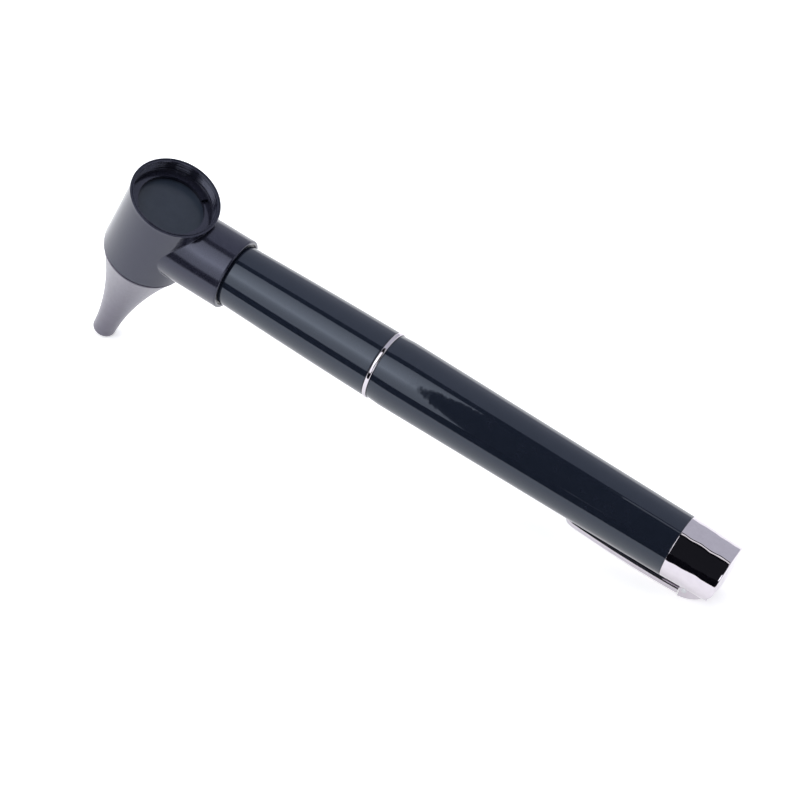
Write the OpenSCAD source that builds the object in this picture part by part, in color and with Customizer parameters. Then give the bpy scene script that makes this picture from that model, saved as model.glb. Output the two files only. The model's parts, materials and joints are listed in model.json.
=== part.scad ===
// Pen otoscope: a short black head with an eyepiece and an ear speculum, on a pen torch handle.
// It lies on a table on its speculum tip and on the heel of its tail cap. +X runs along the
// handle towards the cap, +Z is up, and the mirror plane is y = 0. Millimetres.

/* [Head] */
// Angle between the handle, towards its cap, and the way the eyepiece faces
head_angle = 77.6; // [76.6:0.2:79]
// Outer diameter of the head at the eyepiece rim
rim_d = 19.44; // [19.2:0.1:20.4]
// Outer diameter of the head below the rim's lip
seam_d = 18.9; // [18.6:0.1:19.1]
// Height of the rim's lip
lip_h = 0.6; // [0.6:0.1:0.8]
// Distance from the handle's axis up to the rim
rim_up = 11.27; // [11.2:0.1:12]
// Distance from the handle's axis down to the speculum end
seam_down = 8.38; // [8.2:0.1:9.4]
// Diameter of the open bore above the lens
eye_bore_d = 17.7; // [17.5:0.1:18]
// Height of the open bore and its chamfer, from the lens ring to the rim
eye_depth = 2.93; // [2.6:0.1:3.1]
// Free diameter through the lens ring
lens_view_d = 14.3; // [13.6:0.1:14.6]
// Outer diameter of the neck that holds the handle
neck_d = 15.8; // [15.6:0.1:16]
// Distance from the head's axis to the mouth of the neck
neck_mouth_x = 19.5; // [19.2:0.1:20.4]

/* [Speculum] */
// Length of the speculum
spec_l = 31; // [28:0.2:34]
// Outer diameter of the speculum at the head
spec_base_d = 18.6; // [18.2:0.1:18.8]
// Outer diameter of the speculum at its tip
spec_tip_d = 5.1; // [4.8:0.1:6]
// How hollow the funnel's side is: 1 is a straight cone
spec_hollow = 1.8; // [1.6:0.05:2]
// Wall of the speculum
spec_wall = 0.5; // [0.45:0.05:0.6]

/* [Handle] */
// Distance from the head's axis to the middle of the chrome ring
ring_x = 55.9; // [54:0.1:57]
// Outer diameter of the chrome ring
ring_d = 15.1; // [15:0.1:15.4]
// Width of the chrome ring
ring_w = 0.9; // [0.7:0.1:1.4]
// Largest diameter of the barrel, beside the chrome ring
barrel_d = 14.84; // [14.76:0.02:14.9]
// Diameter of the barrel where the tail cap starts
barrel_rear_d = 13.54; // [13.5:0.02:13.7]
// Diameter of the barrel's front spigot, inside the neck
spigot_d = 13.2; // [13.1:0.05:13.3]

/* [Cells] */
// Diameter of a cell
cell_d = 10.5; // [10.3:0.1:10.5]
// Length of a cell with its terminal
cell_l = 44.5; // [43.5:0.1:44.5]

/* [Tail cap and clip] */
// Distance from the head's axis to the front edge of the tail cap
cap_x = 125.8; // [125.6:0.1:126.4]
// Length of the tail cap
cap_l = 11.9; // [11.7:0.1:12.4]
// Diameter of the tail cap at its front edge
cap_d = 13.5; // [13.4:0.02:13.5]
// Diameter of the tail cap at its end
cap_end_d = 12.8; // [12.6:0.1:13]
// Width of the clip and of the lug that carries it
clip_w = 6.2; // [5.8:0.1:6.6]
// Thickness of the clip
clip_t = 1.7; // [1.5:0.1:1.8]
// Distance from the handle's axis to the clip's outer face at its belly
clip_belly = 10; // [9.8:0.1:10.2]
// Distance from the head's axis to the centre of the clip's rounded front end
clip_tip_x = 103.4; // [100:0.2:106]

/* [Hidden] */
$fn = 96;
eps = 0.02;
run_gap = 0.05; // radial running clearance of the fits

seam_gap = 0.28; // dark seam between the head and the speculum

// Heel of the tail cap: the round shoulder that the lug shares with the cap's end
heel_r = 8.2;
heel_back = 1; // from the heel's rearmost point to the cap's end
heel_x = cap_x + cap_l - heel_back - heel_r;
heel_down = 1.6;
cap_edge = 0.25;
cap_dome = 0.45;

// How the part lies: the table touches the speculum's tip ring and the heel's round shoulder
tip_z = -seam_down - seam_gap - spec_l;
touch_x = tip_z * cos(head_angle) + spec_tip_d / 2 * sin(head_angle);
touch_down = -tip_z * sin(head_angle) + spec_tip_d / 2 * cos(head_angle);
span_down = touch_down - heel_down;
span_x = heel_x - touch_x;
tilt = acos(heel_r / norm([span_x, span_down])) - atan2(span_x, span_down);
rest_height = heel_down * cos(tilt) + heel_x * sin(tilt) + heel_r;
front_x = tip_z * cos(head_angle - tilt) - spec_tip_d / 2 * sin(head_angle - tilt);
back_x = (cap_x + cap_l - cap_dome - cap_edge) * cos(tilt)
    + (cap_end_d / 2 - cap_edge) * sin(tilt) + cap_edge;
middle_x = (front_x + back_x) / 2;

// Stations along the head's axis, measured from the handle's axis
ring_t = 0.95;
lens_ring_top = rim_up - eye_depth;
lens_ring_low = lens_ring_top - ring_t;
lens_t = 1.65;
gasket_t = 0.5;
seat_z = lens_ring_low - lens_t - gasket_t;
seat_t = 1.6;
lens_bore_d = 15.4;
thread_d = 17.2;
seat_d = 13.2;
cavity_d = 14.6;

// Stations along the handle
neck_bore_d = 14.2;
neck_floor_x = 11.2;
guide_face_x = 10.6;
guide_r = 1.3;
guide_from_x = 5; // inside the head's cavity
barrel_front_x = 12;
lamp_r = 2.45;
lamp_well_r = lamp_r + 0.55;
lamp_nose_x = 13.2;
lamp_flange_x = 14.6;
base_x = 15.6;
base_l = 4;
base_d = 6.2;
socket_x = 13.5;
socket_l = 9.5;
socket_d = 10;
contact_r = 1;
cell_gap = 0.05;
cell_bore_d = 11.1;
liner_t = 0.25;
sleeve_d = 12.4;
sleeve_x = 44;
sleeve_end_x = 64.5;
plug_x = 119.5;
plug_floor_x = 126;
plug_end_x = cap_x + 3;
plug_neck_d = 11.2;
plug_bore_d = 8.6; // room for the spring
rivet_r = 1.5;
bush_x = 13;
bush_l = 6.2;
neck_root_x = 3; // inside the head's solid
nub_r = 1.9;
nub_l = 0.8;
cell_rear_x = 116.9;
cell_front_x = cell_rear_x - 2 * cell_l;

// Clip stations, "down" being away from the handle's axis on the clip's side
clip_middle_x = 115;
clip_curve = 0.0028;
clip_root_x = cap_x + 4.2;
lug_x = clip_root_x + 0.3;
clip_tip_r = 0.9;
clip_tip_w = 5;
pivot_x = cap_x + 5.4;
pivot_down = 7.2;
pivot_r = 0.6;
knuckle_r = 1.25;
knuckle_w = 3.4;
cheek_gap = 3.7;
switch_x = 117;
switch_r = 0.8;
switch_head = 0.7; // metal of the clip left outside the contact's head
switch_end_down = 6.25;

function spec_r(s) = spec_tip_d / 2 + (spec_base_d - spec_tip_d) / 2 * pow(1 - s, spec_hollow);
function spec_in(s) = spec_r(s) - spec_wall - 0.35 * (1 - s);
function clip_out(x) = clip_belly - clip_curve * pow(x - clip_middle_x, 2);
// The upper barrel swells towards the ring, by a straight taper and a slight bulge
function front_r(x) = barrel_d / 2 - 0.009 * (ring_x - x) - 0.00029 * pow(ring_x - x, 2);
function arc(cx, cy, r, from, to, steps) =
    [for (i = [0:steps]) let (a = from + (to - from) * i / steps) [cx + r * cos(a), cy + r * sin(a)]];

// ---- placing ----

// The handle's own frame, X along the handle, laid on the table
module lying() {
    translate([-middle_x, 0, rest_height]) rotate([0, tilt, 0]) children();
}

// Local Z along the handle towards the cap, starting at the head's axis
module on_handle(x = 0) {
    lying() translate([x, 0, 0]) rotate([0, 90, 0]) children();
}

// Local Z along the head towards the eyepiece, local X towards the handle
module on_head(z = 0) {
    lying() rotate([0, 90 - head_angle, 0]) translate([0, 0, z]) children();
}

// A side outline drawn in [along the handle, down], given a width across the mirror plane
module side(width) {
    rotate([-90, 0, 0]) linear_extrude(width, center = true) children();
}

module ring(d_out, d_in, h) {
    difference() {
        cylinder(h = h, d = d_out);
        translate([0, 0, -eps]) cylinder(h = h + 2 * eps, d = d_in);
    }
}

// A turned ring with its two outer edges rounded
module round_ring(d_out, d_in, h, edge) {
    rotate_extrude() polygon(concat(
        [[d_in / 2, 0]],
        arc(d_out / 2 - edge, edge, edge, -90, 0, 4),
        arc(d_out / 2 - edge, h - edge, edge, 0, 90, 4),
        [[d_in / 2, h]]));
}

// ---- head ----

module head_outline() {
    edge = 0.3;
    polygon(concat(
        [[0, -seam_down], [seam_d / 2 - edge, -seam_down], [seam_d / 2, edge - seam_down]],
        [[seam_d / 2, rim_up - lip_h - edge], [rim_d / 2, rim_up - lip_h]],
        arc(rim_d / 2 - edge, rim_up - edge, edge, 0, 90, 6),
        [[0, rim_up]]));
}

module neck_outline() {
    lip = 0.35;
    polygon(concat(
        [[0, neck_root_x], [neck_d / 2, neck_root_x]],
        arc(neck_d / 2 - lip, neck_mouth_x - lip, lip, 0, 90, 6),
        [[0, neck_mouth_x]]));
}

module head_solid() {
    on_head() rotate_extrude() head_outline();
    on_handle() rotate_extrude() neck_outline();
}

module head_bores() {
    chamfer = 0.2;
    on_head(-seam_down - eps) cylinder(h = seat_z - seat_t + seam_down + eps, d = cavity_d);
    on_head(0) cylinder(h = rim_up + eps, d = seat_d);
    on_head(seat_z) cylinder(h = rim_up, d = lens_bore_d);
    on_head(lens_ring_low) cylinder(h = rim_up, d = thread_d);
    on_head(lens_ring_top) cylinder(h = rim_up, d = eye_bore_d);
    on_head(rim_up - chamfer)
        cylinder(h = 2 * chamfer, d1 = eye_bore_d, d2 = eye_bore_d + 4 * chamfer);
    on_handle(neck_floor_x) cylinder(h = neck_mouth_x, d = neck_bore_d);
    on_handle(guide_face_x) cylinder(h = neck_floor_x - guide_face_x + eps, r = lamp_well_r);
    on_handle(guide_from_x) cylinder(h = guide_face_x - guide_from_x + eps, r = guide_r);
}

module head_shell() color("#26272b") difference() {
    head_solid();
    head_bores();
}

module lens_gasket() color("#151515") on_head(seat_z) ring(lens_bore_d - 0.1, seat_d, gasket_t);

// A plano-convex magnifier on a flat edge
module eyepiece_lens() color("#39424c") on_head(seat_z + gasket_t) {
    r = lens_bore_d / 2 - 0.08;
    crown_r = lens_view_d / 2 - 0.15;
    crown = 0.3;
    sphere_r = (crown_r * crown_r + crown * crown) / (2 * crown);
    half = asin(crown_r / sphere_r);
    edge_t = lens_t - 0.03;
    rotate_extrude() polygon(concat(
        [[0, 0], [r, 0], [r, edge_t]],
        arc(0, edge_t + crown - sphere_r, sphere_r, 90 - half, 90, 10)));
}

// The threaded ring that holds the lens, with two slots for a pin spanner
module lens_ring() color("#1f2024") difference() {
    slot_w = 1.1;
    slot_deep = 0.75;
    slot_turn = 55;
    on_head(lens_ring_low) ring(thread_d - 2 * run_gap, lens_view_d, ring_t);
    on_head(lens_ring_top - slot_deep + slot_w / 2) rotate([0, 0, slot_turn])
        cube([thread_d + 1, slot_w, slot_w], center = true);
}

// The fixed cone inside the speculum, which carries it and the light guide
module nose_cone() color("#2c2c30") difference() {
    steps = 12;
    reach = 0.42;
    fit = 0.25;
    wall = 0.7;
    flange_t = 1.6;
    top = -seam_down - seam_gap;
    throat = cavity_d / 2 - 1.2;
    on_head() rotate_extrude() polygon(concat(
        [[cavity_d / 2, -seam_down], [cavity_d / 2, flange_t - seam_down]],
        [[throat, flange_t - seam_down]],
        [for (i = [0:steps]) let (s = 0.02 + (reach - 0.02) * i / steps)
            [min(throat, nose_r(s) - wall), top - s * spec_l]],
        [for (i = [steps:-1:0]) let (s = 0.02 + (reach - 0.02) * i / steps)
            [nose_r(s), top - s * spec_l]],
        [[nose_r(0.02), -seam_down]]));
    light_path(guide_r);
}

function nose_r(s) = spec_in(s) - 0.25;

// Centre line of the light guide: in from the lamp, then down the side of the nose cone
module light_path(r) {
    bend_x = 5.85;
    foot_x = 3.4;
    foot_z = -17;
    bend = [bend_x * sin(head_angle), 0, bend_x * cos(head_angle)];
    foot = [foot_x, 0, foot_z];
    reach = foot - bend;
    on_handle(bend_x) cylinder(h = guide_face_x - bend_x, r = r);
    on_head() translate(bend) sphere(r = r);
    on_head() translate(bend)
        rotate([0, 90 + atan2(-reach[2], reach[0]), 0]) cylinder(h = norm(reach), r = r);
}

module light_guide() color("#dfe8ee") light_path(guide_r);

module neck_bush() color("#3a3a3e") on_handle(bush_x)
    ring(neck_bore_d - 2 * run_gap, spigot_d + 2 * run_gap, bush_l);

module speculum() color("#33333a") on_head() {
    steps = 22;
    top = -seam_down - seam_gap;
    lip = 0.2;
    rotate_extrude() polygon(concat(
        [for (i = [0:steps]) let (s = i / steps) [spec_in(s), top - s * spec_l]],
        [[spec_r(1) - lip, top - spec_l]],
        [for (i = [steps:-1:1]) let (s = 0.995 * i / steps) [spec_r(s), top - s * spec_l]],
        [[spec_base_d / 2, top - 0.25], [spec_base_d / 2 - 0.2, top]]));
}

// ---- front half of the handle ----

module upper_barrel() color("#141a26") difference() {
    steps = 16;
    end_x = ring_x - ring_w / 2 - 0.08;
    chamfer = 0.15;
    on_handle() rotate_extrude() polygon(concat(
        [[0, barrel_front_x], [spigot_d / 2 - 0.4, barrel_front_x]],
        [[spigot_d / 2, barrel_front_x + 0.4], [spigot_d / 2, neck_mouth_x - 0.6]],
        [for (i = [0:steps]) let (x = neck_mouth_x + (end_x - chamfer - neck_mouth_x) * i / steps)
            [front_r(x), x]],
        [[front_r(end_x) - chamfer, end_x], [0, end_x]]));
    on_handle(barrel_front_x - eps) cylinder(h = socket_x, r = lamp_r + 0.15);
    on_handle(socket_x) cylinder(h = socket_l, d = socket_d);
    on_handle(socket_x + socket_l - eps) cylinder(h = end_x, d = cell_bore_d);
    on_handle(sleeve_x - 0.4) cylinder(h = end_x, d = sleeve_d + 2 * run_gap);
}

module lamp() color("#e9eef4") {
    on_handle(lamp_nose_x) sphere(r = lamp_r);
    on_handle(lamp_nose_x) cylinder(h = base_x - lamp_nose_x, r = lamp_r);
    on_handle(lamp_flange_x) cylinder(h = base_x - lamp_flange_x, r = lamp_r + 0.4);
}

module lamp_base() color("#c9a54e") on_handle(base_x) cylinder(h = base_l, d = base_d);

module lamp_socket() color("#e6e2d8") difference() {
    on_handle(socket_x) cylinder(h = socket_l, d = socket_d);
    on_handle(socket_x - eps) cylinder(h = base_x + base_l - socket_x + eps, d = base_d);
    on_handle(socket_x) cylinder(h = socket_l + 1, r = contact_r);
}

module lamp_contact() color("#c9a54e") {
    socket_end_x = socket_x + socket_l;
    flange_t = 1;
    flange_r = 3;
    button_r = 1.8;
    on_handle(base_x + base_l)
        cylinder(h = socket_end_x - base_x - base_l + eps, r = contact_r);
    on_handle(socket_end_x) cylinder(h = flange_t, r = flange_r);
    on_handle(socket_end_x)
        cylinder(h = cell_front_x - socket_end_x - cell_gap, r = button_r);
}

// ---- rear half of the handle ----

module lower_barrel() color("#101722") difference() {
    start_x = ring_x + ring_w / 2;
    chamfer = 0.15;
    on_handle() rotate_extrude() polygon([
        [0, start_x], [barrel_d / 2 - chamfer, start_x],
        [barrel_d / 2, start_x + chamfer], [barrel_rear_d / 2, cap_x - chamfer],
        [barrel_rear_d / 2 - chamfer, cap_x], [0, cap_x]]);
    on_handle(start_x - eps) cylinder(h = sleeve_end_x - start_x + eps, d = sleeve_d);
    on_handle(start_x) cylinder(h = cap_x, d = cell_bore_d + 2 * liner_t);
    lying() translate([switch_x, 0, -barrel_rear_d]) cylinder(h = barrel_rear_d, r = switch_r + 0.2);
}

module mid_ring() color("#e8e8ee") on_handle(ring_x - ring_w / 2)
    round_ring(ring_d, sleeve_d, ring_w, 0.2);

module coupling_sleeve() color("#b9974a") on_handle(sleeve_x)
    ring(sleeve_d, cell_bore_d, sleeve_end_x - sleeve_x);

module barrel_liner() color("#c8c8cc") on_handle(sleeve_end_x)
    ring(cell_bore_d + 2 * liner_t, cell_bore_d, plug_x - sleeve_end_x);

module cell(x) {
    edge = 0.3;
    on_handle(x) cylinder(h = nub_l + eps, r = nub_r);
    on_handle(x + nub_l) rotate_extrude() polygon([
        [0, 0], [cell_d / 2 - edge, 0], [cell_d / 2, edge],
        [cell_d / 2, cell_l - nub_l - edge], [cell_d / 2 - edge, cell_l - nub_l],
        [0, cell_l - nub_l]]);
}

module battery_front() color("#8c8f96") cell(cell_front_x);

module battery_rear() color("#8c8f96") cell(cell_front_x + cell_l);

module tail_plug() color("#d8d4c8") difference() {
    union() {
        on_handle(plug_x) cylinder(h = cap_x - plug_x + eps, d = cell_bore_d + 2 * liner_t);
        on_handle(cap_x) cylinder(h = plug_end_x - cap_x, d = plug_neck_d);
    }
    on_handle(plug_x - eps) cylinder(h = plug_floor_x - plug_x + eps, d = plug_bore_d);
    on_handle(plug_x) cylinder(h = plug_end_x, r = rivet_r);
}

module tail_contact() color("#c9a54e") {
    on_handle(plug_floor_x - 1) cylinder(h = 1, d = plug_bore_d);
    on_handle(plug_floor_x - eps) cylinder(h = plug_end_x - plug_floor_x + eps, r = rivet_r);
}

// A coil that presses the cells forward: rings of points swept along a helix
module tail_spring() color("#b8bcc4") {
    turns = 5;
    per_turn = 18;
    sides = 6;
    wire_r = 0.35;
    coil_r = 3.4;
    from_x = cell_rear_x + wire_r + 0.02;
    run = plug_floor_x - 1 - wire_r - 0.02 - from_x;
    count = turns * per_turn;
    points = [for (i = [0:count], j = [0:sides - 1]) let (
        a = 360 * i / per_turn, b = 360 * j / sides, r = coil_r + wire_r * cos(b))
        [r * cos(a), r * sin(a), run * i / count + wire_r * sin(b)]];
    walls = [for (i = [0:count - 1], j = [0:sides - 1]) let (k = (j + 1) % sides)
        [i * sides + j, i * sides + k, (i + 1) * sides + k, (i + 1) * sides + j]];
    start = [for (j = [sides - 1:-1:0]) j];
    finish = [for (j = [0:sides - 1]) count * sides + j];
    on_handle(from_x) polyhedron(points, concat([start], walls, [finish]));
}

// ---- tail cap and clip ----

// Side view that trims the cap's end into the heel's round shoulder
module cap_side() {
    end_x = cap_x + cap_l;
    polygon(concat(
        [[cap_x - 1, -9], [end_x, -9], [end_x, heel_down - 2 * heel_back]],
        arc(heel_x, heel_down, heel_r, 0, 90, 24),
        [[cap_x - 1, heel_down + heel_r]]));
}

module cap_body() {
    end_x = cap_x + cap_l - cap_dome;
    on_handle() rotate_extrude() polygon(concat(
        [[0, cap_x], [cap_d / 2 - 0.1, cap_x], [cap_d / 2, cap_x + 0.1]],
        arc(cap_end_d / 2 - cap_edge, end_x - cap_edge, cap_edge, 0, 80, 5),
        [[cap_end_d / 4, end_x + 0.75 * cap_dome], [0, end_x + cap_dome]]));
    lying() side(clip_w) polygon([
        [lug_x, 4], [cap_x + cap_l, 4], [cap_x + cap_l, 10], [lug_x, 10]]);
}

module tail_cap() color("#d9d9de") difference() {
    intersection() {
        cap_body();
        lying() side(20) cap_side();
    }
    on_handle(cap_x - eps) cylinder(h = plug_end_x - cap_x + eps, d = plug_neck_d);
    lying() side(cheek_gap) translate([pivot_x, pivot_down]) circle(r = knuckle_r + 0.3);
    lying() side(cheek_gap) polygon([
        [clip_root_x - 1, pivot_down - knuckle_r - 0.3], [pivot_x, pivot_down - knuckle_r - 0.3],
        [pivot_x + knuckle_r + 0.3, pivot_down], [pivot_x + knuckle_r + 0.3, 10],
        [clip_root_x - 1, 10]]);
    lying() side(clip_w + 1) translate([pivot_x, pivot_down]) circle(r = pivot_r);
}

module clip_pin() color("#c4c4ca") lying() side(clip_w) translate([pivot_x, pivot_down])
    circle(r = pivot_r);

// Plan view of the clip, narrowing to a round front end
module clip_plan() {
    linear_extrude(20, center = true) polygon(concat(
        [[pivot_x + 5, -clip_w / 2], [pivot_x + 5, clip_w / 2], [clip_root_x, clip_w / 2]],
        arc(clip_tip_x + clip_tip_w / 2 - clip_tip_r, 0, clip_tip_w / 2, 90, 270, 16),
        [[clip_root_x, -clip_w / 2]]));
}

module clip_blade() {
    steps = 14;
    intersection() {
        union() {
            side(clip_w) polygon(concat(
                [for (i = [0:steps]) let (x = clip_tip_x + (clip_root_x - clip_tip_x) * i / steps)
                    [x, clip_out(x)]],
                [for (i = [steps:-1:0]) let (x = clip_tip_x + (clip_root_x - clip_tip_x) * i / steps)
                    [x, clip_out(x) - clip_t]]));
            side(clip_w) translate([clip_tip_x, clip_out(clip_tip_x) - clip_tip_r])
                circle(r = clip_tip_r);
        }
        clip_plan();
    }
}

module clip_knuckle() {
    top = clip_out(clip_root_x) - clip_t;
    side(knuckle_w) translate([pivot_x, pivot_down]) circle(r = knuckle_r);
    side(knuckle_w) polygon([
        [clip_root_x - 1, top], [pivot_x, pivot_down - knuckle_r],
        [pivot_x, pivot_down + knuckle_r], [clip_root_x - 1, clip_out(clip_root_x - 1)]]);
}

module pocket_clip() color("#d9d9de") lying() difference() {
    union() {
        clip_blade();
        clip_knuckle();
    }
    side(clip_w + 1) translate([pivot_x, pivot_down]) circle(r = pivot_r + run_gap);
    translate([switch_x, 0, switch_head - clip_out(switch_x)]) cylinder(h = 5, r = switch_r);
}

// The contact riveted under the clip, which reaches the liner through the barrel's wall
module switch_contact() color("#c9a54e") lying()
    translate([switch_x, 0, switch_head - clip_out(switch_x)])
        cylinder(h = clip_out(switch_x) - switch_head - switch_end_down, r = switch_r);

head_shell();
lens_gasket();
nose_cone();
light_guide();
neck_bush();
eyepiece_lens();
lens_ring();
speculum();
upper_barrel();
lamp();
lamp_base();
lamp_socket();
lamp_contact();
lower_barrel();
mid_ring();
coupling_sleeve();
barrel_liner();
battery_front();
battery_rear();
tail_plug();
tail_contact();
tail_spring();
tail_cap();
clip_pin();
pocket_clip();
switch_contact();
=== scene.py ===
# Looks of the pen otoscope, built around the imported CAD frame.
import json
import math

import bmesh
import bpy
from mathutils import Matrix, Vector


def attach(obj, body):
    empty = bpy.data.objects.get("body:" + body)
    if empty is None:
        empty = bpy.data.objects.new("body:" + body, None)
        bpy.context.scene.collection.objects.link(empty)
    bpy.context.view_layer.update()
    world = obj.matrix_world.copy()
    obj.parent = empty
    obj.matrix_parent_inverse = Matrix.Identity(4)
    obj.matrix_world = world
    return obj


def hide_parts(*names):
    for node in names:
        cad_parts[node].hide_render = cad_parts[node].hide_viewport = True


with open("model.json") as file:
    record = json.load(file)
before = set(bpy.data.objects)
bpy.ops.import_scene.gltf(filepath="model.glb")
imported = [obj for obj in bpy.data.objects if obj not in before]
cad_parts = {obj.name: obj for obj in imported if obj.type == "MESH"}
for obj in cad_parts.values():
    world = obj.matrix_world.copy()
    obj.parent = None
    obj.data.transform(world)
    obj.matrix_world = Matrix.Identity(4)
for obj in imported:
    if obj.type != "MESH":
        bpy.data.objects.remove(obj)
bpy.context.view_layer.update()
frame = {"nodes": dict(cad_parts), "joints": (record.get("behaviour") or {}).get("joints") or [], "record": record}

NODES = frame["nodes"]
MM = 0.001
SCENE = bpy.context.scene.collection

# ---------------------------------------------------------------- the object's own axes

joints = {joint["name"]: joint for joint in frame["joints"]}
ALONG = -Vector(joints["head_pull"]["axis"]).normalized()  # along the handle, to the cap
FACING = Vector(joints["retainer_out"]["axis"]).normalized()  # the way the eyepiece faces
CENTRE = Vector(joints["head_turn"]["pos_m"])  # where the two axes cross


def axis_matrix(axis, x_like, origin=CENTRE):
    """Local Z along axis and local X as near x_like as it can be."""
    z = axis.normalized()
    y = z.cross(x_like).normalized()
    x = y.cross(z)
    turn = Matrix((x, y, z)).transposed().to_4x4()
    return Matrix.Translation(origin) @ turn


HANDLE_SPACE = axis_matrix(ALONG, FACING)  # Z to the cap, X on the eyepiece's side
HEAD_SPACE = axis_matrix(FACING, ALONG)  # Z to the eyepiece, X towards the handle

# ---------------------------------------------------------------- camera


def add_camera():
    azimuth = math.radians(30.986)
    elevation = math.radians(44.092)
    roll = math.radians(0.682)
    distance = 0.60861
    aim = Vector((0.00165, -0.00226, 0.020))
    back = Vector((math.sin(azimuth) * math.cos(elevation),
                   -math.cos(azimuth) * math.cos(elevation), math.sin(elevation)))
    right = Vector((math.cos(azimuth), math.sin(azimuth), 0))
    up = back.cross(right)
    rolled_right = right * math.cos(roll) + up * math.sin(roll)
    rolled_up = back.cross(rolled_right)
    data = bpy.data.cameras.new("camera")
    data.lens = 135
    data.sensor_width = 36
    data.clip_start = 0.01
    camera = bpy.data.objects.new("camera", data)
    turn = Matrix((rolled_right, rolled_up, back)).transposed().to_4x4()
    camera.matrix_world = Matrix.Translation(aim + back * distance) @ turn
    SCENE.objects.link(camera)
    bpy.context.scene.camera = camera


add_camera()

# ---------------------------------------------------------------- materials


def set_inputs(shader, values):
    for name, value in values.items():
        shader.inputs[name].default_value = value


def noise(tree, coords, scale, detail=3.0, stretch=(1, 1, 1)):
    links = tree.links
    mapping = tree.nodes.new("ShaderNodeMapping")
    mapping.inputs["Scale"].default_value = stretch
    links.new(coords, mapping.inputs["Vector"])
    node = tree.nodes.new("ShaderNodeTexNoise")
    node.inputs["Scale"].default_value = scale
    node.inputs["Detail"].default_value = detail
    links.new(mapping.outputs["Vector"], node.inputs["Vector"])
    return node.outputs["Fac"]


def surface(name, dark, light, roughness, grain=900, bump=0.0, bump_scale=6000,
            bump_depth=0.00002, stretch=(1, 1, 1), **constants):
    """A principled surface whose colour and roughness drift, with a fine bump."""
    material = bpy.data.materials.new(name)
    material.use_nodes = True
    tree = material.node_tree
    shader = tree.nodes["Principled BSDF"]
    coords = tree.nodes.new("ShaderNodeTexCoord").outputs["Object"]
    ramp = tree.nodes.new("ShaderNodeValToRGB")
    ramp.color_ramp.elements[0].position = 0.3
    ramp.color_ramp.elements[0].color = (*dark, 1)
    ramp.color_ramp.elements[1].position = 0.7
    ramp.color_ramp.elements[1].color = (*light, 1)
    tree.links.new(noise(tree, coords, grain, stretch=stretch), ramp.inputs["Fac"])
    tree.links.new(ramp.outputs["Color"], shader.inputs["Base Color"])
    spread = tree.nodes.new("ShaderNodeMapRange")
    spread.inputs["From Min"].default_value = 0.3
    spread.inputs["From Max"].default_value = 0.7
    spread.inputs["To Min"].default_value = roughness[0]
    spread.inputs["To Max"].default_value = roughness[1]
    tree.links.new(noise(tree, coords, grain * 2.7, 4.0, stretch), spread.inputs["Value"])
    tree.links.new(spread.outputs["Result"], shader.inputs["Roughness"])
    if bump:
        lift = tree.nodes.new("ShaderNodeBump")
        lift.inputs["Strength"].default_value = bump
        lift.inputs["Distance"].default_value = bump_depth
        tree.links.new(noise(tree, coords, bump_scale, 2.0, stretch), lift.inputs["Height"])
        tree.links.new(lift.outputs["Normal"], shader.inputs["Normal"])
    set_inputs(shader, constants)
    return material


BLUE_TINT = (0.76, 0.84, 1.0, 1)
VIOLET_TINT = (0.74, 0.77, 1.0, 1)
MATERIALS = {
    "head_black": surface("moulded_black", (0.010, 0.0105, 0.019), (0.014, 0.0145, 0.024),
                          (0.12, 0.17), grain=700, bump=0.25, bump_scale=5000,
                          **{"IOR": 1.58, "Specular Tint": VIOLET_TINT}),
    "tip_black": surface("moulded_tip", (0.066, 0.061, 0.090), (0.077, 0.072, 0.104),
                         (0.28, 0.34), grain=600, bump=0.4, bump_scale=4000,
                         **{"IOR": 1.68, "Specular Tint": (0.93, 0.89, 1.0, 1)}),
    "barrel_black": surface("blue_black_lacquer", (0.008, 0.011, 0.019),
                            (0.010, 0.013, 0.022), (0.03, 0.05), grain=500, bump=0.08,
                            bump_scale=350, bump_depth=0.0001,
                            **{"IOR": 1.56, "Specular Tint": BLUE_TINT}),
    "chrome": surface("bright_chrome", (0.55, 0.515, 0.56), (0.58, 0.545, 0.59),
                      (0.02, 0.05), grain=800, bump=0.9, bump_scale=150,
                      bump_depth=0.0003, **{"Metallic": 1.0}),
    # The lens's dark slate base colour is painted shade: it stands in for the dark inside of the head seen through
    # clear glass. Its gloss and slight transmission are real.
    "lens_glass": surface("glass_painted_dark", (0.019, 0.026, 0.041), (0.024, 0.032, 0.049),
                          (0.2, 0.26), grain=300,
                          **{"IOR": 1.38, "Transmission Weight": 0.15}),
    "clear_acrylic": surface("clear_acrylic", (0.80, 0.84, 0.86), (0.88, 0.90, 0.92),
                             (0.05, 0.12), grain=900,
                             **{"IOR": 1.49, "Transmission Weight": 0.85}),
    "gasket_rubber": surface("gasket_rubber", (0.010, 0.010, 0.010), (0.02, 0.02, 0.02),
                             (0.6, 0.75), grain=1500, bump=0.4, bump_scale=7000),
    "white_plastic": surface("white_plastic", (0.66, 0.64, 0.58), (0.74, 0.72, 0.67),
                             (0.35, 0.5), grain=900, bump=0.2, bump_scale=5000),
    "grey_plastic": surface("grey_plastic", (0.05, 0.05, 0.055), (0.08, 0.08, 0.088),
                            (0.35, 0.5), grain=900, bump=0.2, bump_scale=5000),
    "brass": surface("turned_brass", (0.60, 0.42, 0.16), (0.76, 0.57, 0.26),
                     (0.18, 0.34), grain=600, bump=0.25, bump_scale=3000,
                     **{"Metallic": 1.0}),
    "steel": surface("drawn_steel", (0.50, 0.51, 0.53), (0.64, 0.65, 0.68),
                     (0.22, 0.38), grain=700, bump=0.3, bump_scale=4000,
                     **{"Metallic": 1.0}),
    "cell_sleeve": surface("cell_sleeve", (0.20, 0.22, 0.26), (0.28, 0.30, 0.34),
                           (0.25, 0.4), grain=500, bump=0.2, bump_scale=2500,
                           **{"Metallic": 0.6}),
}

SLOT_OF = {row["node"]: row["material_slot"] for row in frame["record"]["subparts"]}


def paint(obj, material):
    obj.data.materials.clear()
    obj.data.materials.append(material)
    for polygon in obj.data.polygons:
        polygon.material_index = 0


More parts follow.
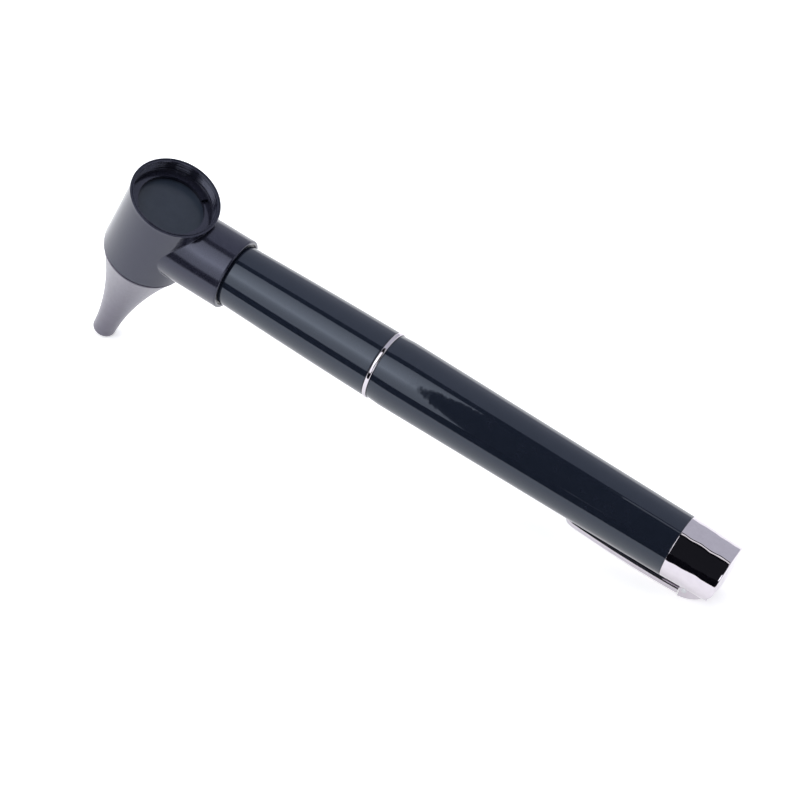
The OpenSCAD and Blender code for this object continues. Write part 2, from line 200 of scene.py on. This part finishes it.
for node_name, node_object in NODES.items():
    paint(node_object, MATERIALS[SLOT_OF[node_name]])

# ---------------------------------------------------------------- mesh helpers


def finish_mesh(name, bm, space, body, node, sharp_angle=34):
    """Turns a bmesh in millimetres into a smooth-shaded piece that stands for a CAD node."""
    bmesh.ops.remove_doubles(bm, verts=bm.verts, dist=1e-5)
    bmesh.ops.recalc_face_normals(bm, faces=bm.faces)
    limit = math.radians(sharp_angle)
    for face in bm.faces:
        face.smooth = True
    for edge in bm.edges:
        edge.smooth = len(edge.link_faces) == 2 and edge.calc_face_angle(0) < limit
    bmesh.ops.scale(bm, vec=(MM, MM, MM), verts=bm.verts)
    bm.transform(space)
    mesh = bpy.data.meshes.new(name)
    bm.to_mesh(mesh)
    bm.free()
    piece = bpy.data.objects.new(name, mesh)
    SCENE.objects.link(piece)
    paint(piece, MATERIALS[SLOT_OF[node]])
    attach(piece, body)
    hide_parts(node)
    return piece


def softened(points, steps=5):
    """A closed outline of (r, z, corner radius) with its corners turned into arcs."""
    out = []
    count = len(points)
    for index, (r, z, corner) in enumerate(points):
        here = Vector((r, z))
        if corner <= 0:
            out.append(here)
            continue
        before = (Vector(points[index - 1][:2]) - here)
        after = (Vector(points[(index + 1) % count][:2]) - here)
        reach = min(corner, before.length * 0.49, after.length * 0.49)
        first = here + before.normalized() * reach
        last = here + after.normalized() * reach
        if before.length > 4 * reach:
            out.append(here + before.normalized() * reach * 1.6)
        for step in range(steps + 1):
            t = step / steps
            out.append(first * (1 - t) ** 2 + here * 2 * t * (1 - t) + last * t ** 2)
        if after.length > 4 * reach:
            out.append(here + after.normalized() * reach * 1.6)
    return [(point.x, point.y) for point in out]


def revolve(outline, segments=192):
    """A bmesh turned about Z from a closed outline of (r, z); r = 0 meets the axis."""
    bm = bmesh.new()
    rings = []
    for r, z in outline:
        if r < 1e-6:
            rings.append([bm.verts.new((0, 0, z))])
        else:
            rings.append([bm.verts.new((r * math.cos(2 * math.pi * i / segments),
                                        r * math.sin(2 * math.pi * i / segments), z))
                          for i in range(segments)])
    for index in range(len(rings)):
        lower, upper = rings[index], rings[(index + 1) % len(rings)]
        if len(lower) == 1 and len(upper) == 1:
            continue
        for i in range(segments):
            j = (i + 1) % segments
            if len(lower) == 1:
                bm.faces.new((lower[0], upper[j], upper[i]))
            elif len(upper) == 1:
                bm.faces.new((lower[i], lower[j], upper[0]))
            else:
                bm.faces.new((lower[i], lower[j], upper[j], upper[i]))
    return bm


def bridge(bm, first, second, closed=True):
    """Quads between two rows of as many vertices."""
    count = len(first)
    for i in range(count if closed else count - 1):
        j = (i + 1) % count
        quad = [first[i], first[j], second[j], second[i]]
        corners = []
        for vert in quad:
            if vert not in corners:
                corners.append(vert)
        if len(corners) > 2:
            bm.faces.new(corners)


def solid(bm):
    """A throwaway object for booleans, in millimetres."""
    bmesh.ops.remove_doubles(bm, verts=bm.verts, dist=1e-5)
    bmesh.ops.recalc_face_normals(bm, faces=bm.faces)
    mesh = bpy.data.meshes.new("scratch")
    bm.to_mesh(mesh)
    bm.free()
    obj = bpy.data.objects.new("scratch", mesh)
    SCENE.objects.link(obj)
    return obj


def combine(obj, other, operation):
    """Applies a boolean to obj and removes the other object."""
    modifier = obj.modifiers.new("boolean", "BOOLEAN")
    modifier.operation = operation
    modifier.solver = "EXACT"
    modifier.object = other
    bpy.context.view_layer.update()
    result = bpy.data.meshes.new_from_object(
        obj.evaluated_get(bpy.context.evaluated_depsgraph_get()))
    obj.modifiers.clear()
    obj.data = result
    bpy.data.objects.remove(other)


def opened(obj):
    """The object's mesh as a bmesh; the object goes."""
    bm = bmesh.new()
    bm.from_mesh(obj.data)
    bpy.data.objects.remove(obj)
    return bm


# ---------------------------------------------------------------- head shell

RIM_R, TUBE_R, RIM_UP, SEAM_DOWN = 9.71, 9.45, 11.22, 8.38
NECK_R, NECK_BORE_R, NECK_MOUTH, NECK_FLOOR = 7.9, 7.1, 19.5, 11.2
EYE_R, EYE_FLOOR = 8.85, 8.34
LENS_RING_R, LENS_R, SEAT_R, CAVITY_R = 8.6, 7.7, 6.6, 7.3
LENS_UP, LENS_SEAT, SEAT_FOOT = 7.39, 5.24, 3.64
WELL_R, WELL_FLOOR, GUIDE_R, GUIDE_FOOT = 3.0, 10.6, 1.3, 9.4


def build_head():
    bm = bmesh.new()
    cos_psi = ALONG.dot(FACING)
    sin_psi = math.sqrt(1 - cos_psi ** 2)
    along = Vector((sin_psi, 0, cos_psi))
    neck_up = Vector((-cos_psi, 0, sin_psi))
    side = Vector((0, -1, 0))

    def neck_point(x, phi, r):
        return along * x + (neck_up * math.cos(phi) + side * math.sin(phi)) * r

    def fillet_radius(phi):
        return 0.13 + 0.47 * (1 - math.cos(phi)) / 2

    def fillet(phi):
        """Ends and centre of the rolled fillet between the neck and the tube."""
        ball = fillet_radius(phi)
        across = (NECK_R + ball) * math.sin(phi)
        out = math.sqrt((TUBE_R + ball) ** 2 - across ** 2)
        x = (out + (NECK_R + ball) * math.cos(phi) * cos_psi) / sin_psi
        centre = neck_point(x, phi, NECK_R + ball)
        on_neck = neck_point(x, phi, NECK_R)
        on_tube = Vector((centre.x, centre.y, 0)) * (TUBE_R / (TUBE_R + ball))
        on_tube.z = centre.z
        return centre, on_neck, on_tube

    half = math.radians(75)
    top, low = 10.46, -8.0
    wide, tall = 60, 36
    alphas = [-half + 2 * half * i / wide for i in range(wide + 1)]
    levels = [low + (top - low) * i / tall for i in range(tall + 1)]
    border = ([(a, top) for a in alphas] + [(half, z) for z in reversed(levels[1:-1])]
              + [(a, low) for a in reversed(alphas)] + [(-half, z) for z in levels[1:-1]])
    middle = 2.08
    phis = [math.atan2(-a / math.radians(57), (z - middle) / 8.3) for a, z in border]

    # The tube's wall round the neck, from the fillet out to a rectangle on the tube
    steps = 6
    rows = []
    curve = []
    for phi in phis:
        centre, on_neck, on_tube = fillet(phi)
        curve.append((math.atan2(on_tube.y, on_tube.x), on_tube.z))
    for step in range(steps + 1):
        t = (step / steps) ** 1.6
        row = []
        for (a0, z0), (a1, z1) in zip(curve, border):
            a, z = a0 + (a1 - a0) * t, z0 + (z1 - z0) * t
            row.append(bm.verts.new((TUBE_R * math.cos(a), TUBE_R * math.sin(a), z)))
        rows.append(row)
    for first, second in zip(rows, rows[1:]):
        bridge(bm, first, second)
    rim_row = rows[-1]
    patch_top = rim_row[:wide + 1]
    right = rim_row[wide:wide + tall + 1]
    patch_low = rim_row[wide + tall:2 * wide + tall + 1]
    left = rim_row[2 * wide + tall:] + [rim_row[0]]

    # The fillet, the neck, its rounded lip and its bore
    previous = rows[0]
    arc_steps = 6
    for step in range(1, arc_steps + 1):
        row = []
        for phi in phis:
            centre, on_neck, on_tube = fillet(phi)
            first, last = on_tube - centre, on_neck - centre
            angle = first.angle(last)
            t = step / arc_steps
            turned = (first * math.sin((1 - t) * angle) + last * math.sin(t * angle)) \
                / math.sin(angle)
            row.append(bm.verts.new(centre + turned))
        bridge(bm, previous, row)
        previous = row
    lip = softened([(NECK_R, 13, 0), (NECK_R, NECK_MOUTH, 0.42), (NECK_BORE_R, NECK_MOUTH, 0.18),
                    (NECK_BORE_R, NECK_FLOOR, 0.1), (WELL_R, NECK_FLOOR, 0.05),
                    (WELL_R, WELL_FLOOR, 0), (GUIDE_R, WELL_FLOOR, 0)], 6)
    for r, x in lip:
        row = [bm.verts.new(neck_point(x, phi, r)) for phi in phis]
        bridge(bm, previous, row)
        previous = row
    # A short sleeve round the light guide, closed inside the wall
    row = [bm.verts.new(neck_point(GUIDE_FOOT, phi, GUIDE_R)) for phi in phis]
    bridge(bm, previous, row)
    hub = bm.verts.new(neck_point(GUIDE_FOOT, 0, 0))
    for i in range(len(row)):
        if (row[i].co - row[(i + 1) % len(row)].co).length > 1e-6:
            bm.faces.new((row[i], row[(i + 1) % len(row)], hub))

    # The rest of the tube's wall
    rest = 84
    turn = 2 * math.pi - 2 * half
    columns = [right]
    for i in range(1, rest):
        a = half + turn * i / rest
        columns.append([bm.verts.new((TUBE_R * math.cos(a), TUBE_R * math.sin(a), z))
                        for z in reversed(levels)])
    columns.append(list(reversed(left)))
    for first, second in zip(columns, columns[1:]):
        bridge(bm, first, second, closed=False)
    angles = alphas + [half + turn * i / rest for i in range(1, rest)]
    ring_top = patch_top + [column[0] for column in columns[1:-1]]
    ring_low = list(reversed(patch_low)) + [column[-1] for column in columns[1:-1]]

    def ring(r, z):
        return [bm.verts.new((r * math.cos(a), r * math.sin(a), z)) for a in angles]

    # The rim's lip, its grooved face, and the threaded recess
    previous = ring_top
    groove = RIM_UP - 0.2
    edge = softened([(TUBE_R, 10.5, 0), (RIM_R - 0.02, 10.62, 0.08), (RIM_R, RIM_UP, 0.2),
                     (9.44, RIM_UP, 0.05), (9.36, groove, 0.03), (9.2, groove, 0.03),
                     (9.12, RIM_UP, 0.05), (EYE_R + 0.12, RIM_UP, 0.05), (EYE_R, groove, 0.05),
                     (EYE_R, RIM_UP - 0.26, 0)], 5)
    for r, z in edge[:-1]:
        row = ring(r, z)
        bridge(bm, previous, row)
        previous = row
    pitch, depth = 0.8, 0.36
    z = RIM_UP - 0.26
    while z > EYE_FLOOR + 0.12:
        fade = min(1, (RIM_UP - 0.26 - z) / 0.1, (z - EYE_FLOOR - 0.12) / 0.1)
        row = []
        for a in angles:
            crest = 0.5 + 0.5 * math.cos(2 * math.pi * z / pitch - a)
            r = EYE_R + depth * fade * (1 - crest ** 2)
            row.append(bm.verts.new((r * math.cos(a), r * math.sin(a), z)))
        bridge(bm, previous, row)
        previous = row
        z -= 0.04
    inside = softened([(EYE_R, EYE_FLOOR + 0.1, 0), (EYE_R, EYE_FLOOR, 0.05),
                       (LENS_RING_R, EYE_FLOOR, 0.04), (LENS_RING_R, LENS_UP, 0.05),
                       (LENS_R, LENS_UP, 0.05), (LENS_R, LENS_SEAT, 0.08),
                       (SEAT_R, LENS_SEAT, 0.1), (SEAT_R, SEAT_FOOT, 0.1),
                       (CAVITY_R, SEAT_FOOT, 0.2), (CAVITY_R, -SEAM_DOWN, 0.12),
                       (8.9, -SEAM_DOWN, 0.1), (8.95, -8.2, 0.03), (TUBE_R, -8.2, 0.09),
                       (TUBE_R, low, 0)], 4)
    for r, z in inside[:-1]:
        row = ring(r, z)
        bridge(bm, previous, row)
        previous = row
    bridge(bm, previous, ring_low)
    return finish_mesh("head_moulding", bm, HEAD_SPACE, "head", "head_shell")


build_head()

# ---------------------------------------------------------------- speculum

SPEC_TOP, SPEC_L, SPEC_BASE_R, SPEC_TIP_R, SPEC_HOLLOW = -8.66, 31.0, 9.3, 2.55, 1.8


def build_speculum():
    def outer(s):
        return SPEC_TIP_R + (SPEC_BASE_R - SPEC_TIP_R) * (1 - s) ** SPEC_HOLLOW

    steps = 48
    outline = [(8.78, SPEC_TOP), (8.8, SPEC_TOP - 0.14)]
    for step in range(7):
        a = math.radians(15 * step)
        outline.append((9.02 + 0.2 * math.sin(a), SPEC_TOP - 0.36 + 0.2 * math.cos(a)))
    for i in range(1, steps + 1):
        s = 0.02 + 0.974 * i / steps
        outline.append((outer(s), SPEC_TOP - s * SPEC_L))
    tip = SPEC_TOP - SPEC_L
    outline += [(SPEC_TIP_R - 0.04, tip + 0.08), (SPEC_TIP_R - 0.12, tip + 0.01),
                (SPEC_TIP_R - 0.2, tip), (SPEC_TIP_R - 0.42, tip), (SPEC_TIP_R - 0.5, tip + 0.05)]
    for i in range(steps, -1, -1):
        s = 0.99 * i / steps
        outline.append((outer(s) - 0.5 - 0.35 * (1 - s), SPEC_TOP - s * SPEC_L))
    return finish_mesh("speculum_cone", revolve(outline, 192), HEAD_SPACE, "ear_tip",
                       "speculum", 40)


build_speculum()

# ---------------------------------------------------------------- handle

RING_X, RING_W, RING_R = 55.9, 0.9, 7.55  # chrome ring: middle, width, outer radius
BARREL_R, REAR_R, CAP_X = 7.42, 6.77, 125.8  # barrel radius at the ring and at the cap
BARREL_FRONT, SPIGOT_R = 12, 6.6
LAMP_R, SOCKET_R, CELL_R, SLEEVE_R, LINER_R = 2.6, 5.0, 5.55, 6.25, 5.8
SOCKET_X, CELL_X, SLEEVE_X, SLEEVE_END = 13.5, 23, 43.6, 64.5
SLEEVE_SEAT_R = 6.2


def front_r(x):
    return BARREL_R - 0.009 * (RING_X - x) - 0.00029 * (RING_X - x) ** 2


def build_upper_barrel():
    end = RING_X - RING_W / 2 - 0.08
    outline = softened([(LAMP_R, BARREL_FRONT, 0.05), (SPIGOT_R, BARREL_FRONT, 0.4),
                        (SPIGOT_R, NECK_MOUTH - 0.6, 0.05),
                        (front_r(NECK_MOUTH), NECK_MOUTH, 0)], 4)
    steps = 30
    for i in range(1, steps + 1):
        x = NECK_MOUTH + (end - 0.3 - NECK_MOUTH) * i / steps
        outline.append((front_r(x), x))
    outline += softened([(front_r(end), end - 0.22, 0), (front_r(end), end, 0.14),
                         (SLEEVE_R, end, 0.05), (SLEEVE_R, SLEEVE_X, 0.05),
                         (CELL_R, SLEEVE_X, 0.05), (CELL_R, CELL_X, 0.05),
                         (SOCKET_R, CELL_X, 0.05), (SOCKET_R, SOCKET_X, 0.05),
                         (LAMP_R, SOCKET_X, 0)], 4)
    return finish_mesh("front_barrel", revolve(outline, 192), HANDLE_SPACE, "front_half",
                       "upper_barrel")


def build_lower_barrel():
    start = RING_X + RING_W / 2
    outline = softened([(SLEEVE_SEAT_R, start, 0.03), (BARREL_R, start, 0.14)], 4)
    steps = 24
    for i in range(1, steps):
        t = i / steps
        outline.append((BARREL_R + (REAR_R - BARREL_R) * t,
                        start + 0.2 + (CAP_X - 0.4 - start) * t))
    outline += softened([(REAR_R, CAP_X - 0.22, 0), (REAR_R, CAP_X, 0.14), (LINER_R, CAP_X, 0.03),
                         (LINER_R, SLEEVE_END, 0.03), (SLEEVE_SEAT_R, SLEEVE_END, 0.03)], 4)
    barrel = solid(revolve(outline, 192))
    hole = revolve([(0, 5), (SWITCH_HOLE_R, 5), (SWITCH_HOLE_R, 9), (0, 9)], 32)
    hole.transform(Matrix.Translation((0, 0, SWITCH_X)) @ Matrix.Rotation(-math.pi / 2, 4, "Y"))
    combine(barrel, solid(hole), "DIFFERENCE")
    return finish_mesh("rear_barrel", opened(barrel), HANDLE_SPACE, "handle", "lower_barrel")


def build_ring():
    front, back = RING_X - RING_W / 2, RING_X + RING_W / 2
    outline = softened([(SLEEVE_SEAT_R, front, 0), (RING_R, front, 0.3),
                        (RING_R, back, 0.3), (SLEEVE_SEAT_R, back, 0)], 8)
    return finish_mesh("chrome_band", revolve(outline, 192), HANDLE_SPACE, "handle", "mid_ring")


build_upper_barrel()
build_ring()

# ---------------------------------------------------------------- tail cap and clip

CAP_END, CAP_R, CAP_END_R, CAP_BORE_R, PLUG_END = 137.7, 6.75, 6.4, 5.6, 128.8
HEEL_X, HEEL_DOWN, HEEL_R = 128.5, 1.6, 8.2
LUG_X, LUG_HALF, SLOT_HALF = 130.3, 3.1, 1.85
PIVOT_X, PIVOT_DOWN, KNUCKLE_R, PIN_R = 131.2, 7.2, 1.25, 0.6
CLIP_ROOT, CLIP_TIP, CLIP_T = 130.0, 103.4, 1.7
CLIP_TIP_HALF, CLIP_ROOT_HALF, KNUCKLE_HALF = 2.5, 3.1, 1.7
CLIP_BELLY, CLIP_BELLY_X, CLIP_CURVE = 10, 115, 0.0028
SWITCH_X, SWITCH_HOLE_R = 117, 1


def slab(points, half):
    """A side outline of (along, down), given a width of twice half across the mirror plane."""
    bm = bmesh.new()
    near = [bm.verts.new((-down, -half, x)) for x, down in points]
    far = [bm.verts.new((-down, half, x)) for x, down in points]
    bm.faces.new(near)
    bm.faces.new(list(reversed(far)))
    bridge(bm, near, far)
    return bm


def arc(x, down, r, first, last, steps):
    """Side outline points from the first angle to the last, in degrees from the cap's end."""
    angles = [math.radians(first + (last - first) * i / steps) for i in range(steps + 1)]
    return [(x + r * math.cos(a), down + r * math.sin(a)) for a in angles]


def pin_hole(r):
    """A rod across the mirror plane, on the clip's pin."""
    rod = revolve([(0, -5), (r, -5), (r, 5), (0, 5)], 24)
    rod.transform(Matrix.Translation((-PIVOT_DOWN, 0, PIVOT_X))
                  @ Matrix.Rotation(math.pi / 2, 4, "X"))
    return solid(rod)


def build_cap():
    outline = softened([(CAP_BORE_R, CAP_X, 0.04), (CAP_R, CAP_X, 0.16),
                        (CAP_END_R, CAP_END - 0.45, 0.3), (CAP_END_R / 2, CAP_END - 0.12, 2.0),
                        (0, CAP_END, 0), (0, PLUG_END, 0), (CAP_BORE_R, PLUG_END, 0.05)], 6)
    cap = solid(revolve(outline, 256))
    trim = [(CAP_X - 1, -9), (CAP_END + 1, -9), (CAP_END + 1, -3), (CAP_END, -0.4)]
    trim += arc(HEEL_X, HEEL_DOWN, HEEL_R, 0, 90, 40)
    trim.append((CAP_X - 1, HEEL_DOWN + HEEL_R))
    combine(cap, solid(slab(trim, 10)), "INTERSECT")
    lug_angle = math.degrees(math.acos((LUG_X - HEEL_X) / HEEL_R))
    lug = slab([(LUG_X, 4), (CAP_END - 2.2, 4)]
               + arc(HEEL_X, HEEL_DOWN, HEEL_R, 20, lug_angle, 30), LUG_HALF)
    rim = [edge for edge in lug.edges if edge.calc_face_angle(0) > 0.6]
    bmesh.ops.bevel(lug, geom=rim, offset=0.8, segments=6, profile=0.5, affect="EDGES")
    combine(cap, solid(lug), "UNION")
    gap = KNUCKLE_R + 0.3
    slot = slab([(CLIP_ROOT - 1, PIVOT_DOWN - gap)]
                + arc(PIVOT_X, PIVOT_DOWN, gap, -90, 0, 9)
                + [(PIVOT_X + gap, 12), (CLIP_ROOT - 1, 12)], SLOT_HALF)
    combine(cap, solid(slot), "DIFFERENCE")
    combine(cap, pin_hole(PIN_R), "DIFFERENCE")
    return finish_mesh("chrome_cap", opened(cap), HANDLE_SPACE, "handle", "tail_cap", 24)


def clip_out(x):
    """How far the clip's outer face is from the handle's axis."""
    return CLIP_BELLY - CLIP_CURVE * (x - CLIP_BELLY_X) ** 2


def build_clip():
    """A curved strip with rounded edges that narrows to a round front end."""
    bm = bmesh.new()
    corner, nose, count = 0.5, 0.9, 46
    front = CLIP_TIP - nose
    stations = [front + nose * (1 - math.cos(math.radians(a))) for a in range(12, 91, 13)]
    stations += [CLIP_TIP + (CLIP_ROOT - CLIP_TIP) * (i / count) for i in range(1, count + 1)]
    rows = []
    for x in stations:
        along = (x - front) / (CLIP_ROOT - front)
        half = CLIP_TIP_HALF + (CLIP_ROOT_HALF - CLIP_TIP_HALF) * along
        half *= math.sqrt(1 - max(0, 1 - (x - front) / CLIP_TIP_HALF) ** 2)
        thick = CLIP_T * math.sqrt(max(0.02, 1 - max(0, 1 - (x - front) / nose) ** 2))
        middle = clip_out(x) - CLIP_T / 2
        round_r = min(corner, half * 0.8, thick * 0.42)
        row = []
        for quarter, (sx, sy) in enumerate(((1, 1), (-1, 1), (-1, -1), (1, -1))):
            for step in range(7):
                a = math.radians(90 * quarter + 15 * step)
                px = sx * (thick / 2 - round_r) + round_r * math.cos(a)
                py = sy * (half - round_r) + round_r * math.sin(a)
                row.append(bm.verts.new((-middle - px, py, x)))
        rows.append(row)
    for first, second in zip(rows, rows[1:]):
        bridge(bm, first, second)
    bm.faces.new(rows[0])
    bm.faces.new(list(reversed(rows[-1])))
    clip = solid(bm)
    face = clip_out(CLIP_ROOT)
    knuckle = slab([(CLIP_ROOT - 1, face - CLIP_T + 0.2),
                    (PIVOT_X - 0.6, PIVOT_DOWN - KNUCKLE_R + 0.15)]
                   + arc(PIVOT_X, PIVOT_DOWN, KNUCKLE_R, -105, 90, 13)
                   + [(CLIP_ROOT - 0.3, face - 0.5), (CLIP_ROOT - 1, face - 0.5)], KNUCKLE_HALF)
    combine(clip, solid(knuckle), "UNION")
    combine(clip, pin_hole(PIN_R + 0.05), "DIFFERENCE")
    return finish_mesh("chrome_clip", opened(clip), HANDLE_SPACE, "clip", "pocket_clip", 30)


build_lower_barrel()
build_cap()
build_clip()

# ---------------------------------------------------------------- studio


HANDLE_UP = (FACING - ALONG * FACING.dot(ALONG)).normalized()
FRONT = Vector((0, -1, 0))


def around(theta):
    """Direction off the handle's axis, in degrees from straight up towards the front."""
    t = math.radians(theta)
    return HANDLE_UP * math.cos(t) + FRONT * math.sin(t)


def handle_point(x, theta=0, out=0):
    return CENTRE + ALONG * x * MM + around(theta) * out


def emitter(name, colour, stops, fade_from=0.999):
    """Light that runs through (place, strength) stops across the plate's width.

    Along its length it is even up to fade_from, and dies away from there to the end.
    """
    material = bpy.data.materials.new(name)
    material.use_nodes = True
    tree = material.node_tree
    tree.nodes.clear()
    output = tree.nodes.new("ShaderNodeOutputMaterial")
    light = tree.nodes.new("ShaderNodeEmission")
    light.inputs["Color"].default_value = (*colour, 1)
    coords = tree.nodes.new("ShaderNodeTexCoord")
    split = tree.nodes.new("ShaderNodeSeparateXYZ")
    tree.links.new(coords.outputs["Generated"], split.inputs["Vector"])
    ramp = tree.nodes.new("ShaderNodeValToRGB")
    top = max(value for place, value in stops)
    while len(ramp.color_ramp.elements) < len(stops):
        ramp.color_ramp.elements.new(0.5)
    for element, (place, value) in zip(ramp.color_ramp.elements, stops):
        element.position = place
        element.color = (value / top, value / top, value / top, 1)
    tree.links.new(split.outputs["X"], ramp.inputs["Fac"])
    scale = tree.nodes.new("ShaderNodeMath")
    scale.operation = "MULTIPLY"
    scale.inputs[1].default_value = top
    fade = tree.nodes.new("ShaderNodeMapRange")
    fade.interpolation_type = "SMOOTHSTEP"
    fade.inputs["From Min"].default_value = fade_from
    fade.inputs["To Min"].default_value = 1
    fade.inputs["To Max"].default_value = 0
    tree.links.new(split.outputs["Y"], fade.inputs["Value"])
    even = tree.nodes.new("ShaderNodeMath")
    even.operation = "MULTIPLY"
    tree.links.new(ramp.outputs["Color"], even.inputs[0])
    tree.links.new(fade.outputs["Result"], even.inputs[1])
    tree.links.new(even.outputs["Value"], scale.inputs[0])
    tree.links.new(scale.outputs["Value"], light.inputs["Strength"])
    tree.links.new(light.outputs["Emission"], output.inputs["Surface"])
    return material


def flat_black(name):
    material = bpy.data.materials.new(name)
    material.use_nodes = True
    shader = material.node_tree.nodes["Principled BSDF"]
    set_inputs(shader, {"Base Color": (0.004, 0.004, 0.006, 1), "Roughness": 0.9,
                        "Specular IOR Level": 0.0})
    return material


def strip(name, theta_from, theta_to, x_from, x_to, out, material):
    """A plate that fills a span of directions round the handle, from x_from to x_to."""
    middle = (theta_from + theta_to) / 2
    reach = math.radians(theta_to - theta_from) / 2
    height = 2 * out * math.tan(reach)
    centre = handle_point((x_from + x_to) / 2, middle, out)
    x = around(middle + 90)  # across, growing with theta
    z = -around(middle)
    y = z.cross(x)
    length = (x_to - x_from) * MM
    mesh = bpy.data.meshes.new(name)
    corners = [(-height / 2, -length / 2, 0), (height / 2, -length / 2, 0),
               (height / 2, length / 2, 0), (-height / 2, length / 2, 0)]
    mesh.from_pydata([Vector(c) for c in corners], [], [(0, 1, 2, 3)])
    obj = bpy.data.objects.new(name, mesh)
    turn = Matrix((x, y, z)).transposed().to_4x4()
    obj.matrix_world = Matrix.Translation(centre) @ turn
    SCENE.objects.link(obj)
    obj.data.materials.append(material)
    obj.visible_camera = False
    return obj


def build_studio():
    # The floor
    size = 6
    mesh = bpy.data.meshes.new("floor")
    mesh.from_pydata([(-size, -size, 0), (size, -size, 0), (size, size, 0), (-size, size, 0)],
                     [], [(0, 1, 2, 3)])
    floor = bpy.data.objects.new("floor", mesh)
    SCENE.objects.link(floor)
    material = bpy.data.materials.new("pale_floor")
    material.use_nodes = True
    tree = material.node_tree
    shader = tree.nodes["Principled BSDF"]
    coords = tree.nodes.new("ShaderNodeTexCoord").outputs["Object"]
    ramp = tree.nodes.new("ShaderNodeValToRGB")
    ramp.color_ramp.elements[0].color = (0.84, 0.84, 0.845, 1)
    ramp.color_ramp.elements[1].color = (0.87, 0.87, 0.87, 1)
    tree.links.new(noise(tree, coords, 40), ramp.inputs["Fac"])
    tree.links.new(ramp.outputs["Color"], shader.inputs["Base Color"])
    set_inputs(shader, {"Roughness": 1.0, "Specular IOR Level": 0.0,
                        "Emission Color": (1, 1, 1, 1), "Emission Strength": 0.53})
    floor.data.materials.append(material)

    # The big softbox on the head's side, which dies away where it ends along the handle
    strip("softbox", 6, 84, -800, -30, 0.5,
          emitter("softbox_light", (0.96, 0.98, 1.0),
                  [(0, 1.5), (0.2, 2.1), (0.4, 2.8), (0.52, 3.4), (0.6, 2.5), (0.68, 2.0),
                   (0.8, 1.7), (1, 1.5)], fade_from=0.91))
    strip("top_strip", -5.5, -0.5, 50, 800, 0.52,
          emitter("top_light", (1, 1, 1), [(0, 0.9), (0.5, 1.3), (1, 0.9)]))
    strip("low_strip", 75.5, 79, 32, 800, 0.52,
          emitter("low_light", (1, 0.99, 1), [(0, 0.4), (0.5, 1.2), (1, 0.4)]))
    flag = strip("zenith_flag", -8.5, 6, -900, 900, 0.53, flat_black("flag_cloth"))
    flag.visible_diffuse = False
    flag.visible_shadow = False
    board = build_front_board()
    board.visible_diffuse = False
    board.visible_shadow = False

    # A card low in front of the eyepiece, seen by the rim and the thread's flanks
    card = strip("rim_card", 46, 84, 165, 520, 0.5, emitter("card_light", (0.93, 0.96, 1.0),
                                                         [(0, 2.0), (0.5, 3.2), (1, 2.0)]))
    card.visible_diffuse = False

    # Fill from above, which shows in no reflection
    data = bpy.data.lights.new("overhead", "AREA")
    data.shape = "DISK"
    data.size = 1.2
    data.energy = 9
    overhead = bpy.data.objects.new("overhead", data)
    overhead.location = (-0.1, 0.1, 1.1)
    overhead.visible_glossy = False
    overhead.visible_camera = False
    SCENE.objects.link(overhead)

    world = bpy.data.worlds.new("studio")
    bpy.context.scene.world = world
    world.use_nodes = True
    tree = world.node_tree
    background = tree.nodes["Background"]
    coords = tree.nodes.new("ShaderNodeTexCoord")
    split = tree.nodes.new("ShaderNodeSeparateXYZ")
    tree.links.new(coords.outputs["Generated"], split.inputs["Vector"])
    ramp = tree.nodes.new("ShaderNodeValToRGB")
    ramp.color_ramp.interpolation = "EASE"
    ramp.color_ramp.elements[0].position = 0.5
    ramp.color_ramp.elements[0].color = (0.015, 0.016, 0.02, 1)
    ramp.color_ramp.elements[1].position = 0.545
    ramp.color_ramp.elements[1].color = (0.69, 0.71, 0.79, 1)
    half = tree.nodes.new("ShaderNodeMapRange")
    half.inputs["From Min"].default_value = -1
    tree.links.new(split.outputs["Y"], half.inputs["Value"])
    tree.links.new(half.outputs["Result"], ramp.inputs["Fac"])
    path = tree.nodes.new("ShaderNodeLightPath")
    mix = tree.nodes.new("ShaderNodeMix")
    mix.data_type = "RGBA"
    mix.inputs["B"].default_value = (0.9, 0.9, 0.91, 1)
    tree.links.new(path.outputs["Is Camera Ray"], mix.inputs["Factor"])
    tree.links.new(ramp.outputs["Color"], mix.inputs["A"])
    tree.links.new(mix.outputs["Result"], background.inputs["Color"])
    bpy.context.scene.view_settings.view_transform = "Standard"


def build_front_board():
    """A low black board in front, which the glossy barrel sees as a dark line."""
    mesh = bpy.data.meshes.new("front_board")
    line = [(-0.5, -0.34), (-0.053, -0.14), (0.003, -0.1), (0.036, -0.092), (0.5, -0.085)]
    corners = [(x, y, 0) for x, y in line] + [(x, y, 0.04) for x, y in line]
    mesh.from_pydata(corners, [], [(i, i + 1, i + 6, i + 5) for i in range(4)])
    board = bpy.data.objects.new("front_board", mesh)
    SCENE.objects.link(board)
    board.data.materials.append(flat_black("board_black"))
    board.visible_camera = False
    return board


build_studio()
